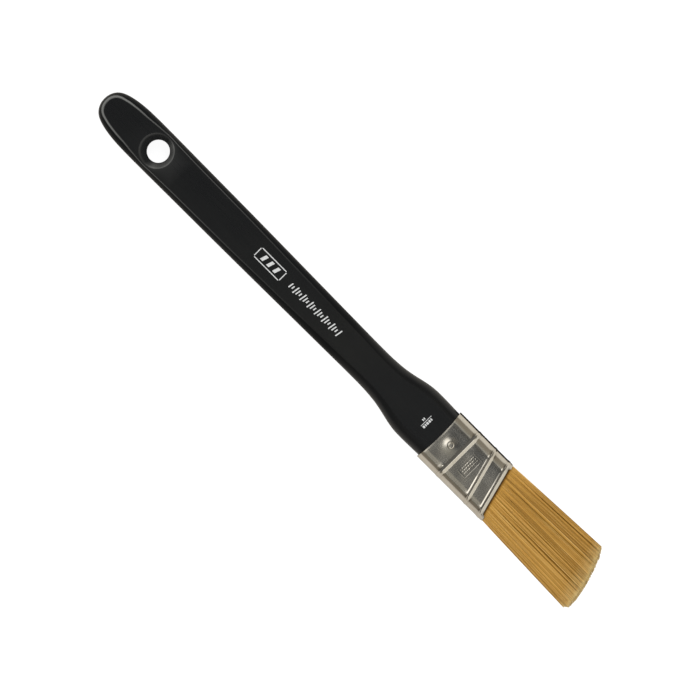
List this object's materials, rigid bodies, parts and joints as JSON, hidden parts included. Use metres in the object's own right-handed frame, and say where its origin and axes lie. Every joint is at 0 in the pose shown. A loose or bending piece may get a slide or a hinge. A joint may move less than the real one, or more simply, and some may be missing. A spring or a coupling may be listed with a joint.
{
  "type": "angled sash paint brush",
  "caption": "Angled flat paint brush for cutting in: beavertail handle with hang hole, metal ferrule with raised beads, tapered synthetic filaments that flex.",
  "frame": {"origin": "centre of the hang hole, half way through the handle's thickness", "axes": "+X along the brush towards the filament tips, +Z out of the front face, +Y towards the short edge, where the angled mouth and tips are nearest the handle"},
  "size_m": [0.2888, 0.0291, 0.0116],
  "materials": {
    "lacquered_wood": "black satin lacquer",
    "plated_sheet": "bright nickel plate, lightly rolled",
    "nail": "bright",
    "resin": "cured amber resin",
    "plug_wood": "sawn",
    "filament": "tapered synthetic filament, golden tan"
  },
  "bodies": {
    "brush": {"handle": "lacquered_wood", "ferrule": "plated_sheet", "front_nail": "nail", "back_nail": "nail", "epoxy_setting": "resin", "spacer_plug": "plug_wood", "front_filament_heel": "filament", "back_filament_heel": "filament"},
    "filaments": {"front_filament_tuft": "filament", "back_filament_tuft": "filament"}
  },
  "joints": [
    {"name": "bristle_flex", "type": "hinge", "parent": "brush", "child": "filaments", "pos_m": [0.20976, 0.00169, 0], "axis": [-0.2246, 0.9744, 0], "range_deg": [-30, 30], "stiffness_Nm_per_rad": 0.2}
  ]
}
